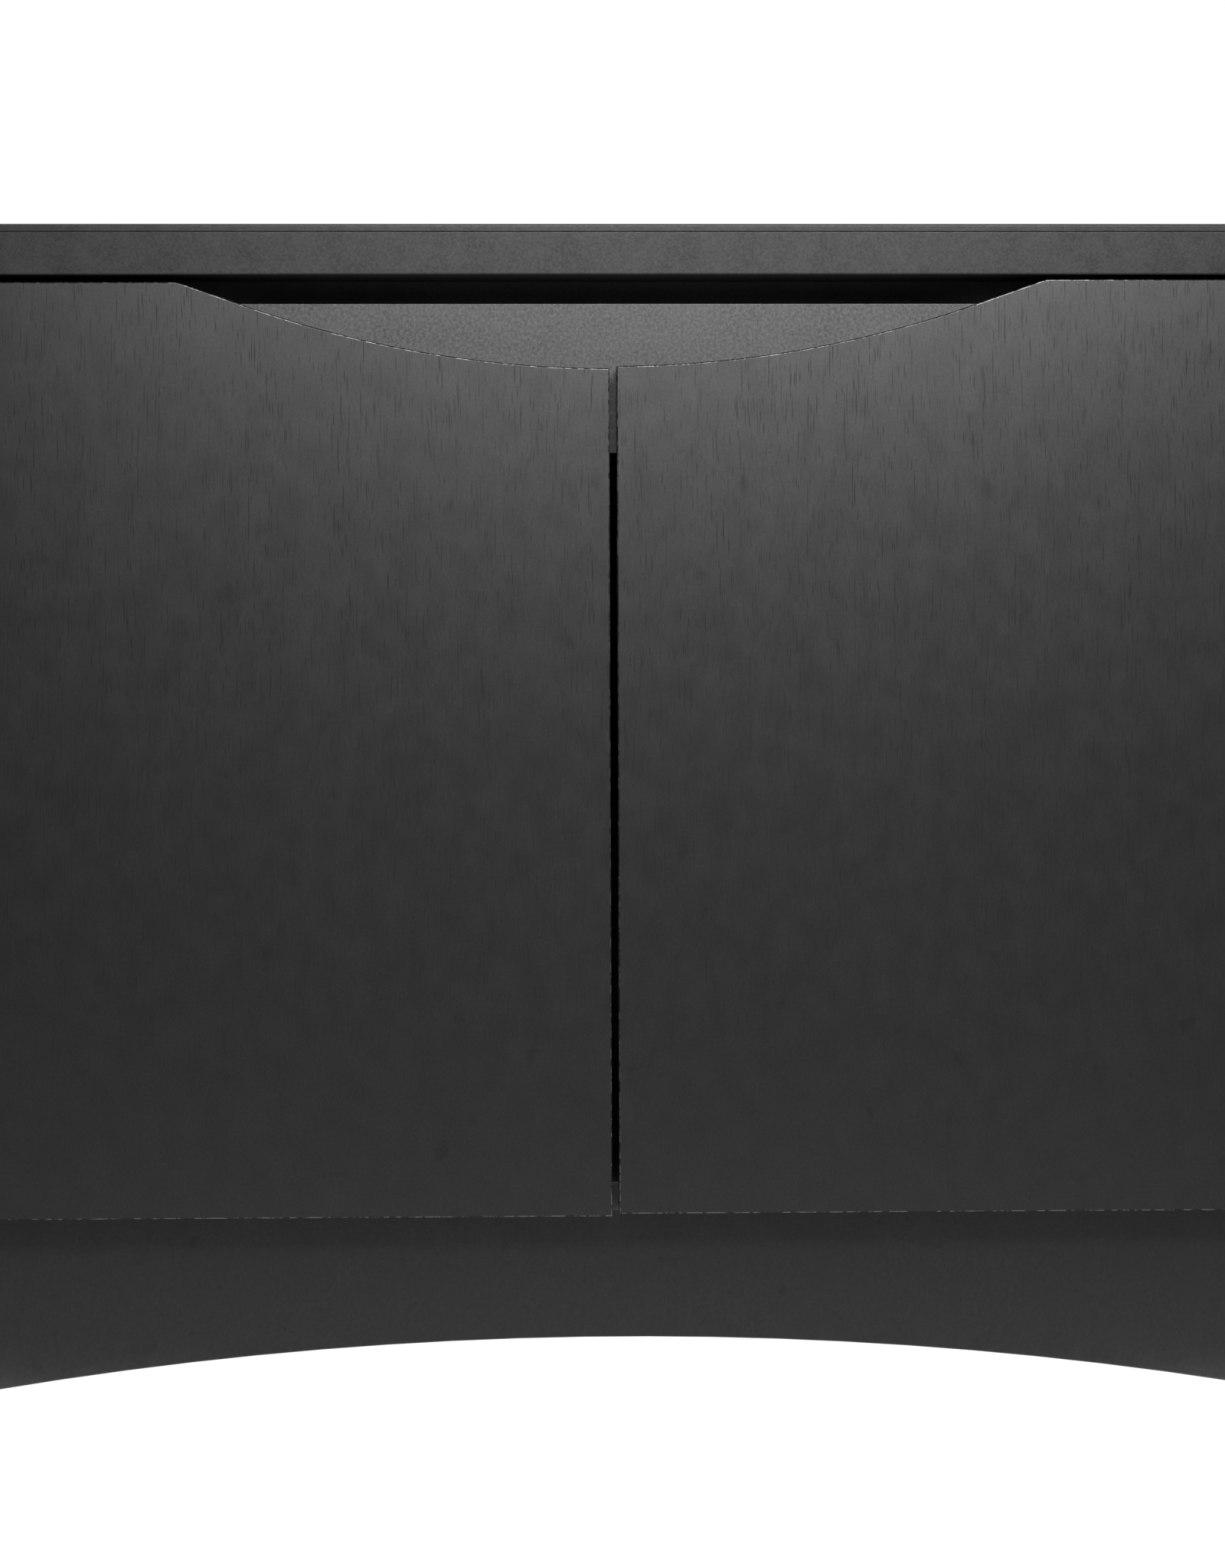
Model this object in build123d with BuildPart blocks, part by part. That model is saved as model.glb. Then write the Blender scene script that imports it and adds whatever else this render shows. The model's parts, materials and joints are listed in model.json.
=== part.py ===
"""Aquarium stand cabinet: two doors with a shared finger scoop over an arched plinth.

Millimetres, +Z up. The origin is on the floor under the middle of the cabinet.
The doors face -Y and +X is to the right of someone who stands in front of them.
"""
from build123d import *
from math import atan2, cos, degrees, hypot, radians, sin, sqrt, tan
import os

os.makedirs("parts", exist_ok=True)

# Overall size
TOP_WIDTH = 927.0
TOP_DEPTH = 470.0
HEIGHT = 737.0

# Boards
TOP_SHEET_THICK = 4.5
TOP_BOARD_THICK = 26.4
BOARD = 18.0
BOTTOM_PANEL_THICK = 17.5
BACK_THICK = 5.0
SIDE_OVERHANG = 5.0
REAR_OVERHANG = 7.0
EASED_EDGE = 0.6
TOP_CORNER = 3.0
TOP_SHEET_ROUND = 1.6
TOP_BOARD_ROUND = 1.0
REVEAL = 0.9

# Carcass
FRONT_SETBACK = 21.0
GLIDE_HEIGHT = 4.0
RAIL_TOP = 690.7
RAIL_BOTTOM = 599.0
BOTTOM_PANEL_TOP = 152.8
STRETCHER_HEIGHT = 70.0
TOP_BRACE_HEIGHT = 60.0
PLINTH_BRACE_BOTTOM = 75.0
BLOCK_LEG = 45.0
BLOCK_THICK = 20.0
BLOCK_SCREW_INSET = 13.0

# Plinth arch
ARCH_CROWN = 58.0
ARCH_RADIUS = 2400.0
ARCH_HALF_WIDTH = 388.0
ARCH_CORNER = 12.0

# Floor glides
GLIDE_RADIUS = 8.5
GLIDE_CHAMFER = 1.2
GLIDE_FROM_END = 45.0
GLIDE_FROM_SIDE = 26.0

# Doors
DOOR_THICK = 18.0
DOOR_HEIGHT = 568.0
DOOR_TOP = 703.2
LEFT_DOOR_DROP = 1.5
DOOR_GAP = 4.4
DOOR_STANDOFF = 2.0
DOOR_EDGE_INSET = 1.0
DOOR_EDGE_ROUND = 0.9
SCOOP_DEPTH = 52.5
SCOOP_RADIUS = 672.0
SCOOP_RAMP = 19.3
SCOOP_SHOULDER = 14.0
BUMPER_RADIUS = 5.0
BUMPER_HEIGHT = 1.6
BUMPER_ROUND = 1.0
BUMPER_X = 26.0
BUMPER_ABOVE_RAIL_BOTTOM = 20.0

# Concealed hinges, measured inward from the door's outer edge and forward from its back face
HINGE_HEIGHTS = {"upper": 560.0, "lower": 230.0}
CUP_CENTRE = 22.5
CUP_RADIUS = 17.5
CUP_DEPTH = 11.5
CUP_PIN = (10.5, 2.2)
ARM_PIN = (30.6, 5.65)
PIN_RADIUS = 1.5
PIN_CLEARANCE = 0.05
KNUCKLE_RADIUS = 2.3
LINK_HALF_WIDTH = 5.0
LINK_THICK = 1.6
ARM_HALF_WIDTH = 7.4
ARM_WALL = 1.2
ARM_NOSE = 3.4
ARM_NECK = 6.0
ARM_HEEL = 12.0
ARM_REACH = 62.0
ARM_LOW = 24.0
ARM_HIGH = 34.0
ARM_WINDOW = (-3.0, 11.0)
ARM_SCREW_BACK = 50.0
PLATE_THICK = 2.0
PLATE_WIDTH = 18.0
PLATE_LENGTH = 48.0
PLATE_CORNER = 7.0
PLATE_SCREW_BACK = 39.0
PLATE_SCREW_SPREAD = 16.0
RIDGE_START = 22.0
RIDGE_HALF = 5.0
CUP_WALL = 1.0
CUP_FIT = 0.1
CUP_FLANGE = 1.2
CUP_LIP = 0.9
CUP_EAR_WIDTH = 13.0
CUP_EAR_LENGTH = 60.0
CUP_EAR_CORNER = 6.0
CUP_NOTCH = (3.0, 9.0)
CUP_NOTCH_WIDTH = 15.0
CUP_SCREW_SPREAD = 24.0
CUP_SCREW_BACK = 6.0

# Hose and cable ports in the back
PORT_X = 250.0
PORT_HEIGHT = 545.0
PORT_HOLE_RADIUS = 30.0
PORT_BORE_RADIUS = 27.0
PORT_FLANGE_RADIUS = 37.0
PORT_FLANGE = 2.0
PORT_FLANGE_ROUND = 1.2
PORT_SLEEVE = 9.0
PORT_FIT = 0.1
BACK_OVERLAP = 35.0
BACK_EDGE_INSET = 5.0
BACK_TOP_GAP = 2.0

# Cams, bolts and dowels
CAM_RADIUS = 7.5
CAM_DEPTH = 12.5
CAM_INSET = 34.0
CAM_FIT = 0.1
CAM_SLOT = (9.0, 2.0, 2.5)
BOLT_RADIUS = 3.0
BOLT_BITE = 11.0
BOLT_END_GAP = 0.2
DOWEL_RADIUS = 4.0
DOWEL_BITE = 12.0
DOWEL_LENGTH = 32.0

# Screws: radius of the hole, length under the head, radius and height of the head
SCREW_FIT = 0.05
BACK_SCREW = (1.75, 19.0, 3.8, 1.8)
BLOCK_SCREW = (2.0, 38.0, 4.0, 2.2)
PLATE_SCREW = (1.9, 14.0, 3.6, 1.8)
ARM_SCREW = (2.5, 15.0, 4.2, 2.0)
CUP_SCREW = (1.75, 12.0, 3.6, 1.4)
SCREW_END_GAP = 0.2

# Worked-out places
FRONT_Y = -TOP_DEPTH / 2
REAR_Y = TOP_DEPTH / 2
TOP_UNDERSIDE = HEIGHT - TOP_SHEET_THICK - TOP_BOARD_THICK
CARCASS_FRONT = FRONT_Y + FRONT_SETBACK
CARCASS_REAR = REAR_Y - REAR_OVERHANG - BACK_THICK
RAIL_BACK = CARCASS_FRONT + BOARD
STRETCHER_BACK = RAIL_BACK + BOARD
SIDE_OUTER = TOP_WIDTH / 2 - SIDE_OVERHANG
SIDE_INNER = SIDE_OUTER - BOARD
PLINTH_TOP = BOTTOM_PANEL_TOP - BOTTOM_PANEL_THICK
DOOR_BACK = CARCASS_FRONT - DOOR_STANDOFF
DOOR_OUTER = SIDE_OUTER - DOOR_EDGE_INSET
SIDE_FACE = DOOR_OUTER - SIDE_INNER
SIDES = {"left": -1, "right": 1}


def save(piece, name):
    """Label a finished piece and write it to its own file."""
    piece.part.label = name
    export_step(piece.part, f"parts/{name}.step")


def reversed_way(direction):
    """The opposite of a direction."""
    return tuple(-value for value in direction)


def moved(point, direction, distance):
    """A point carried some distance along a direction."""
    return tuple(place + value * distance for place, value in zip(point, direction))


def drill(points, outward, radius, depth):
    """Drill a round hole at each point of the part in hand, against the outward direction."""
    for point in points:
        with Locations(Plane(origin=point, z_dir=outward)):
            Hole(radius=radius, depth=depth)


def cross_recess(points, outward, span, width, depth):
    """Cut a screwdriver's cross at each point of the part in hand."""
    top = (Align.CENTER, Align.CENTER, Align.MAX)
    for point in points:
        with Locations(Plane(origin=point, z_dir=outward)):
            Box(span, width, depth, align=top, mode=Mode.SUBTRACT)
            Box(width, span, depth, align=top, mode=Mode.SUBTRACT)


def stud(points, along, radius, length):
    """Add a round stud to the part in hand at each point, growing along a direction."""
    for point in points:
        with Locations(Plane(origin=point, z_dir=along)):
            Cylinder(radius, length, align=(Align.CENTER, Align.CENTER, Align.MIN))


def screws(seats, outward, kind):
    """Add cross-headed screws to the part in hand: each head stands outward from its seat."""
    hole, length, head, height = kind
    stud(seats, reversed_way(outward), hole - SCREW_FIT, length)
    for seat in seats:
        with Locations(Plane(origin=seat, z_dir=outward)):
            Cone(head, head * 0.8, height, align=(Align.CENTER, Align.CENTER, Align.MIN))
    crowns = [moved(seat, outward, height) for seat in seats]
    cross_recess(crowns, outward, head * 1.2, head * 0.25, height * 0.6)


def board(x_range, y_range, z_range):
    """Add a plain board that fills three ranges to the part in hand."""
    spans = (x_range, y_range, z_range)
    with Locations([tuple((low + high) / 2 for low, high in spans)]):
        Box(*(high - low for low, high in spans))


def ease(edges, amount=EASED_EDGE):
    """Round sharp edges of the part in hand."""
    fillet(edges, amount)


# --- Places of the fasteners -------------------------------------------------------------
# Each board that runs from side to side is held at both ends by cams, bolts and dowels.
# "face" points out of the face that the cams are pressed into, "spots" are their places (y, z)
# on it, "mid" is the depth of the bolts below it, and "dowel" is how far (y, z) the dowels lie
# from the bolts.
JOINTS = {
    "bottom_panel": {
        "face": (0, 0, -1),
        "spots": [(-120.0, PLINTH_TOP), (130.0, PLINTH_TOP)],
        "mid": BOTTOM_PANEL_THICK / 2,
        "dowel": (40.0, 0.0),
    },
    "front_stretcher": {
        "face": (0, 1, 0),
        "spots": [(STRETCHER_BACK, 672.0)],
        "mid": BOARD / 2,
        "dowel": (0.0, -16.0),
    },
    "rear_stretcher": {
        "face": (0, -1, 0),
        "spots": [(CARCASS_REAR - BOARD, 672.0)],
        "mid": BOARD / 2,
        "dowel": (0.0, -20.0),
    },
    "front_rail": {
        "face": (0, 1, 0),
        "spots": [(RAIL_BACK, 617.0)],
        "mid": BOARD / 2,
        "dowel": (0.0, 40.0),
    },
    "plinth_front": {
        "face": (0, 1, 0),
        "spots": [(RAIL_BACK, 90.0)],
        "mid": BOARD / 2,
        "dowel": (0.0, -40.0),
    },
    "plinth_rear": {
        "face": (0, -1, 0),
        "spots": [(CARCASS_REAR - BOARD, 90.0)],
        "mid": BOARD / 2,
        "dowel": (0.0, -40.0),
    },
}


def cam_points(name, side):
    """Centres of a board's cams, on the face they are pressed into."""
    x = side * (SIDE_INNER - CAM_INSET)
    return [(x, y, z) for y, z in JOINTS[name]["spots"]]


def bolt_points(name, side):
    """Where a board's cam bolts cross the inner face of a side panel."""
    joint = JOINTS[name]
    _, out_y, out_z = joint["face"]
    mid = joint["mid"]
    return [(side * SIDE_INNER, y - out_y * mid, z - out_z * mid) for y, z in joint["spots"]]


def dowel_points(name, side):
    """Where a board's dowels cross the inner face of a side panel."""
    shift_y, shift_z = JOINTS[name]["dowel"]
    return [(x, y + shift_y, z + shift_z) for x, y, z in bolt_points(name, side)]


def fastener_holes(name):
    """Bore the cam pockets, bolt holes and dowel holes in both ends of a board."""
    for side in SIDES.values():
        outward = (side, 0, 0)
        drill(cam_points(name, side), JOINTS[name]["face"], CAM_RADIUS, CAM_DEPTH)
        drill(bolt_points(name, side), outward, BOLT_RADIUS, CAM_INSET)
        drill(dowel_points(name, side), outward, DOWEL_RADIUS, DOWEL_LENGTH - DOWEL_BITE)


# The back's screws, where they enter the boards behind it
BACK_REAR = CARCASS_REAR + BACK_THICK
BACK_SCREW_SIDE = [
    (side * (SIDE_OUTER - BOARD / 2), CARCASS_REAR, z)
    for side in SIDES.values()
    for z in (150.0, 300.0, 450.0, 600.0)
]
BACK_SCREW_TOP = [(x, CARCASS_REAR, 690.0) for x in (-300.0, -100.0, 100.0, 300.0)]
BACK_SCREW_BOTTOM = [(x, CARCASS_REAR, 144.0) for x in (-300.0, -100.0, 100.0, 300.0)]
BACK_SCREWS = BACK_SCREW_SIDE + BACK_SCREW_TOP + BACK_SCREW_BOTTOM
BACK_SCREW_HOLE = BACK_SCREW[0]
BACK_SCREW_DEPTH = BACK_SCREW[1] - BACK_THICK + SCREW_END_GAP

# The hinge plates' screws, on the side panels, and the corner blocks' screws, under the blocks
PLATE_SCREW_SPOTS = {
    side: [
        (side * SIDE_INNER, DOOR_BACK + PLATE_SCREW_BACK, height + spread)
        for height in HINGE_HEIGHTS.values()
        for spread in (-PLATE_SCREW_SPREAD, PLATE_SCREW_SPREAD)
    ]
    for side in SIDES.values()
}
BLOCK_SCREW_SPOTS = [
    (side * (SIDE_INNER - BLOCK_SCREW_INSET), y + turn * BLOCK_SCREW_INSET, TOP_UNDERSIDE)
    for side in SIDES.values()
    for y, turn in ((STRETCHER_BACK, 1), (CARCASS_REAR - BOARD, -1))
]

# The braces' dowels: the face of the board each enters, and the way from it into the brace
BRACE_DOWELS = {
    "front_stretcher": ([(0, STRETCHER_BACK, z) for z in (662.0, 690.0)], (0, 1, 0)),
    "rear_stretcher": ([(0, CARCASS_REAR - BOARD, z) for z in (662.0, 690.0)], (0, -1, 0)),
    "plinth_front": ([(0, RAIL_BACK, z) for z in (90.0, 120.0)], (0, 1, 0)),
    "plinth_rear": ([(0, CARCASS_REAR - BOARD, z) for z in (90.0, 120.0)], (0, -1, 0)),
}


def brace_holes_in_board(name):
    """Bore a brace's dowel holes in the board that its end meets."""
    points, into_brace = BRACE_DOWELS[name]
    drill(points, into_brace, DOWEL_RADIUS, DOWEL_BITE)


def brace_holes_in_ends(front_name, rear_name):
    """Bore the dowel holes in both ends of a brace."""
    for name in (front_name, rear_name):
        points, into_brace = BRACE_DOWELS[name]
        drill(points, reversed_way(into_brace), DOWEL_RADIUS, DOWEL_LENGTH - DOWEL_BITE)


# --- Top ---------------------------------------------------------------------------------
with BuildPart() as top_sheet:
    board(
        (-TOP_WIDTH / 2, TOP_WIDTH / 2),
        (FRONT_Y, REAR_Y),
        (HEIGHT - TOP_SHEET_THICK, HEIGHT),
    )
    ease(top_sheet.edges().filter_by(Axis.Z), TOP_CORNER)
    ease(top_sheet.faces().sort_by(Axis.Z)[-1].edges(), TOP_SHEET_ROUND)
save(top_sheet, "top_sheet")

with BuildPart() as top_board:
    board(
        (-TOP_WIDTH / 2, TOP_WIDTH / 2),
        (FRONT_Y, REAR_Y),
        (TOP_UNDERSIDE, HEIGHT - TOP_SHEET_THICK),
    )
    ease(top_board.edges().filter_by(Axis.Z), TOP_CORNER)
    ease(top_board.faces().sort_by(Axis.Z)[0].edges(), TOP_BOARD_ROUND)
    chamfer(top_board.faces().sort_by(Axis.Z)[-1].edges(), REVEAL)
    block_screw_depth = BLOCK_SCREW[1] - BLOCK_THICK + SCREW_END_GAP
    drill(BLOCK_SCREW_SPOTS, (0, 0, -1), BLOCK_SCREW[0], block_screw_depth)
save(top_board, "top_board")

# --- Side panels -------------------------------------------------------------------------
for side_name, side in SIDES.items():
    with BuildPart() as side_panel:
        board(
            sorted((side * SIDE_INNER, side * SIDE_OUTER)),
            (CARCASS_FRONT, CARCASS_REAR),
            (GLIDE_HEIGHT, TOP_UNDERSIDE),
        )
        ease(side_panel.faces().sort_by(Axis.Y)[0].edges())
        for name in JOINTS:
            drill(bolt_points(name, side), (-side, 0, 0), BOLT_RADIUS, BOLT_BITE)
            drill(dowel_points(name, side), (-side, 0, 0), DOWEL_RADIUS, DOWEL_BITE)
        own_screws = [point for point in BACK_SCREW_SIDE if point[0] * side > 0]
        drill(own_screws, (0, 1, 0), BACK_SCREW_HOLE, BACK_SCREW_DEPTH)
        plate_screw_depth = PLATE_SCREW[1] - PLATE_THICK + SCREW_END_GAP
        drill(PLATE_SCREW_SPOTS[side], (-side, 0, 0), PLATE_SCREW[0], plate_screw_depth)
    save(side_panel, f"side_panel_{side_name}")

# --- Bottom panel, rails and stretchers --------------------------------------------------
with BuildPart() as bottom_panel:
    board(
        (-SIDE_INNER, SIDE_INNER),
        (CARCASS_FRONT, CARCASS_REAR),
        (PLINTH_TOP, BOTTOM_PANEL_TOP),
    )
    ease(bottom_panel.faces().sort_by(Axis.Y)[0].edges().filter_by(Axis.X))
    fastener_holes("bottom_panel")
    drill(BACK_SCREW_BOTTOM, (0, 1, 0), BACK_SCREW_HOLE, BACK_SCREW_DEPTH)
save(bottom_panel, "bottom_panel")

with BuildPart() as front_rail:
    board((-SIDE_INNER, SIDE_INNER), (CARCASS_FRONT, RAIL_BACK), (RAIL_BOTTOM, RAIL_TOP))
    ease(front_rail.faces().sort_by(Axis.Y)[0].edges().filter_by(Axis.X))
    fastener_holes("front_rail")
save(front_rail, "front_rail")

with BuildPart() as front_stretcher:
    board(
        (-SIDE_INNER, SIDE_INNER),
        (RAIL_BACK, STRETCHER_BACK),
        (TOP_UNDERSIDE - STRETCHER_HEIGHT, TOP_UNDERSIDE),
    )
    fastener_holes("front_stretcher")
    brace_holes_in_board("front_stretcher")
save(front_stretcher, "front_stretcher")

with BuildPart() as rear_stretcher:
    board(
        (-SIDE_INNER, SIDE_INNER),
        (CARCASS_REAR - BOARD, CARCASS_REAR),
        (TOP_UNDERSIDE - STRETCHER_HEIGHT, TOP_UNDERSIDE),
    )
    fastener_holes("rear_stretcher")
    brace_holes_in_board("rear_stretcher")
    drill(BACK_SCREW_TOP, (0, 1, 0), BACK_SCREW_HOLE, BACK_SCREW_DEPTH)
save(rear_stretcher, "rear_stretcher")

with BuildPart() as top_brace:
    board(
        (-BOARD / 2, BOARD / 2),
        (STRETCHER_BACK, CARCASS_REAR - BOARD),
        (TOP_UNDERSIDE - TOP_BRACE_HEIGHT, TOP_UNDERSIDE),
    )
    brace_holes_in_ends("front_stretcher", "rear_stretcher")
save(top_brace, "top_brace")

with BuildPart() as corner_blocks:
    for side in SIDES.values():
        for y, turn in ((STRETCHER_BACK, 1), (CARCASS_REAR - BOARD, -1)):
            corner = (side * SIDE_INNER, y)
            with BuildSketch(Plane.XY.offset(TOP_UNDERSIDE - BLOCK_THICK)):
                with BuildLine():
                    Polyline(
                        corner,
                        (corner[0] - side * BLOCK_LEG, corner[1]),
                        (corner[0], corner[1] + turn * BLOCK_LEG),
                        close=True,
                    )
                make_face()
            extrude(amount=BLOCK_THICK)
    block_undersides = [(x, y, TOP_UNDERSIDE - BLOCK_THICK) for x, y, _ in BLOCK_SCREW_SPOTS]
    drill(block_undersides, (0, 0, -1), BLOCK_SCREW[0], BLOCK_THICK)
save(corner_blocks, "corner_blocks")

# --- Plinth ------------------------------------------------------------------------------
SPRING = ARCH_CROWN - (ARCH_RADIUS - sqrt(ARCH_RADIUS**2 - ARCH_HALF_WIDTH**2))
for name, front in (("plinth_front", CARCASS_FRONT), ("plinth_rear", CARCASS_REAR - BOARD)):
    with BuildPart() as plinth:
        with BuildSketch(Plane.XZ.offset(-front)):
            with BuildLine():
                Polyline(
                    (ARCH_HALF_WIDTH, SPRING),
                    (ARCH_HALF_WIDTH, GLIDE_HEIGHT),
                    (SIDE_INNER, GLIDE_HEIGHT),
                    (SIDE_INNER, PLINTH_TOP),
                    (-SIDE_INNER, PLINTH_TOP),
                    (-SIDE_INNER, GLIDE_HEIGHT),
                    (-ARCH_HALF_WIDTH, GLIDE_HEIGHT),
                    (-ARCH_HALF_WIDTH, SPRING),
                )
                ThreePointArc((-ARCH_HALF_WIDTH, SPRING), (0, ARCH_CROWN), (ARCH_HALF_WIDTH, SPRING))
            make_face()
        extrude(amount=-BOARD)
        springs = plinth.edges().filter_by(Axis.Y).filter_by_position(Axis.Z, SPRING - 1, SPRING + 1)
        fillet(springs, ARCH_CORNER)
        if name == "plinth_front":
            lower_front = plinth.faces().sort_by(Axis.Y)[0].edges().filter_by(
                lambda edge: edge.center().Z < PLINTH_TOP - 1 and abs(edge.center().X) < SIDE_INNER - 1
            )
            ease(lower_front)
        fastener_holes(name)
        brace_holes_in_board(name)
    save(plinth, name)

with BuildPart() as plinth_brace:
    board(
        (-BOARD / 2, BOARD / 2),
        (RAIL_BACK, CARCASS_REAR - BOARD),
        (PLINTH_BRACE_BOTTOM, PLINTH_TOP),
    )
    brace_holes_in_ends("plinth_front", "plinth_rear")
save(plinth_brace, "plinth_brace")

GLIDE_SPOTS = [
    (side * x, y)
    for side in SIDES.values()
    for x, y in (
        (SIDE_OUTER - BOARD / 2, CARCASS_FRONT + GLIDE_FROM_END),
        (SIDE_OUTER - BOARD / 2, CARCASS_REAR - GLIDE_FROM_END),
        (SIDE_INNER - GLIDE_FROM_SIDE, CARCASS_FRONT + BOARD / 2),
        (SIDE_INNER - GLIDE_FROM_SIDE, CARCASS_REAR - BOARD / 2),
    )
]
with BuildPart() as floor_glides:
    for x, y in GLIDE_SPOTS:
        with BuildSketch(Plane.XY):
            with Locations((x, y)):
                Circle(GLIDE_RADIUS)
        extrude(amount=GLIDE_HEIGHT)
    chamfer(floor_glides.faces().filter_by(Axis.Z).group_by(Axis.Z)[0].edges(), GLIDE_CHAMFER)
save(floor_glides, "floor_glides")

# --- Back panel and its ports ------------------------------------------------------------
with BuildPart() as back_panel:
    board(
        (-SIDE_OUTER + BACK_EDGE_INSET, SIDE_OUTER - BACK_EDGE_INSET),
        (CARCASS_REAR, BACK_REAR),
        (PLINTH_TOP - BACK_OVERLAP, TOP_UNDERSIDE - BACK_TOP_GAP),
    )
    ports = [(x, BACK_REAR, PORT_HEIGHT) for x in (-PORT_X, PORT_X)]
    drill(ports, (0, 1, 0), PORT_HOLE_RADIUS, BACK_THICK)
    back_seats = [(x, BACK_REAR, z) for x, _, z in BACK_SCREWS]
    drill(back_seats, (0, 1, 0), BACK_SCREW_HOLE, BACK_THICK)
save(back_panel, "back_panel")

for side_name, side in SIDES.items():
    flange_rear = [(side * PORT_X, BACK_REAR + PORT_FLANGE, PORT_HEIGHT)]
    with BuildPart() as port_ring:
        stud(flange_rear, (0, -1, 0), PORT_FLANGE_RADIUS, PORT_FLANGE)
        stud(flange_rear, (0, -1, 0), PORT_HOLE_RADIUS - PORT_FIT, PORT_SLEEVE)
        drill(flange_rear, (0, 1, 0), PORT_BORE_RADIUS, PORT_SLEEVE)
        rims = port_ring.edges().filter_by(GeomType.CIRCLE).group_by(Axis.Y)[-1]
        fillet(rims.sort_by(SortBy.RADIUS)[-1], PORT_FLANGE_ROUND)
    save(port_ring, f"port_ring_{side_name}")

# --- Carcass fasteners -------------------------------------------------------------------
with BuildPart() as cam_locks:
    for name, joint in JOINTS.items():
        for side in SIDES.values():
            stud(cam_points(name, side), reversed_way(joint["face"]), CAM_RADIUS - CAM_FIT, CAM_DEPTH)
            cross_recess(cam_points(name, side), joint["face"], *CAM_SLOT)
save(cam_locks, "cam_locks")

with BuildPart() as cam_bolts:
    for name in JOINTS:
        for side in SIDES.values():
            ends = [(x + side * BOLT_BITE, y, z) for x, y, z in bolt_points(name, side)]
            length = BOLT_BITE + CAM_INSET - CAM_RADIUS - BOLT_END_GAP
            stud(ends, (-side, 0, 0), BOLT_RADIUS - SCREW_FIT, length)
save(cam_bolts, "cam_bolts")

with BuildPart() as dowels:
    for name in JOINTS:
        for side in SIDES.values():
            ends = [(x + side * DOWEL_BITE, y, z) for x, y, z in dowel_points(name, side)]
            stud(ends, (-side, 0, 0), DOWEL_RADIUS - SCREW_FIT, DOWEL_LENGTH)
save(dowels, "dowels")

with BuildPart() as brace_dowels:
    for points, into_brace in BRACE_DOWELS.values():
        ends = [moved(point, into_brace, -DOWEL_BITE) for point in points]
        stud(ends, into_brace, DOWEL_RADIUS - SCREW_FIT, DOWEL_LENGTH)
save(brace_dowels, "brace_dowels")

with BuildPart() as back_screws:
    screws(back_seats, (0, 1, 0), BACK_SCREW)
save(back_screws, "back_screws")

with BuildPart() as block_screws:
    screws(block_undersides, (0, 0, -1), BLOCK_SCREW)
save(block_screws, "block_screws")


# --- Doors -------------------------------------------------------------------------------
def door_drop(side):
    """How far a door hangs below its neighbour."""
    return LEFT_DOOR_DROP if side < 0 else 0.0


def scoop_rise(x):
    """Height of the scoop's arc above its lowest point, at a distance from the middle."""
    return SCOOP_RADIUS - sqrt(SCOOP_RADIUS**2 - x**2)


# The scoop's arc ends at ARC_END_X and a straight ramp runs on to the door's top edge.
GAP_X = DOOR_GAP / 2
ARC_MID_X = SCOOP_RADIUS * sin(radians(SCOOP_RAMP / 2))
ARC_END_X = SCOOP_RADIUS * sin(radians(SCOOP_RAMP))
RAMP_END_X = ARC_END_X + (SCOOP_DEPTH - scoop_rise(ARC_END_X)) / tan(radians(SCOOP_RAMP))

for side_name, side in SIDES.items():
    top = DOOR_TOP - door_drop(side)
    bottom = top - DOOR_HEIGHT
    scoop_floor = top - SCOOP_DEPTH
    scoop_inner = (side * GAP_X, scoop_floor + scoop_rise(GAP_X))
    scoop_mid = (side * ARC_MID_X, scoop_floor + scoop_rise(ARC_MID_X))
    scoop_end = (side * ARC_END_X, scoop_floor + scoop_rise(ARC_END_X))
    with BuildPart() as door:
        with BuildSketch(Plane.XZ.offset(-DOOR_BACK)):
            with BuildLine():
                Polyline(
                    scoop_end,
                    (side * RAMP_END_X, top),
                    (side * DOOR_OUTER, top),
                    (side * DOOR_OUTER, bottom),
                    (side * GAP_X, bottom),
                    scoop_inner,
                )
                ThreePointArc(scoop_inner, scoop_mid, scoop_end)
            make_face()
        extrude(amount=DOOR_THICK)
        across = door.edges().filter_by(Axis.Y)
        shoulder = across.sort_by(lambda edge: abs(abs(edge.center().X) - RAMP_END_X))[0]
        fillet(shoulder, SCOOP_SHOULDER)
        ease(door.faces().sort_by(Axis.Y)[0].edges(), DOOR_EDGE_ROUND)
        ease(door.faces().sort_by(Axis.Y)[-1].edges(), DOOR_EDGE_ROUND)
        for height in HINGE_HEIGHTS.values():
            level = height - door_drop(side)
            cup_x = side * (DOOR_OUTER - CUP_CENTRE)
            drill([(cup_x, DOOR_BACK, level)], (0, 1, 0), CUP_RADIUS, CUP_DEPTH)
            screw_x = cup_x - side * CUP_SCREW_BACK
            cup_holes = [
                (screw_x, DOOR_BACK, level + spread)
                for spread in (-CUP_SCREW_SPREAD, CUP_SCREW_SPREAD)
            ]
            cup_hole_depth = CUP_SCREW[1] - CUP_FLANGE + SCREW_END_GAP
            drill(cup_holes, (0, 1, 0), CUP_SCREW[0], cup_hole_depth)
    save(door, f"door_panel_{side_name}")

    bumper_heights = (RAIL_BOTTOM + BUMPER_ABOVE_RAIL_BOTTOM, PLINTH_TOP + BOTTOM_PANEL_THICK / 2)
    with BuildPart() as bumpers:
        stud([(side * BUMPER_X, DOOR_BACK, z) for z in bumper_heights], (0, 1, 0),
             BUMPER_RADIUS, BUMPER_HEIGHT)
        fillet(bumpers.edges().filter_by(GeomType.CIRCLE).group_by(Axis.Y)[-1], BUMPER_ROUND)
    save(bumpers, f"door_bumpers_{side_name}")


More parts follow.
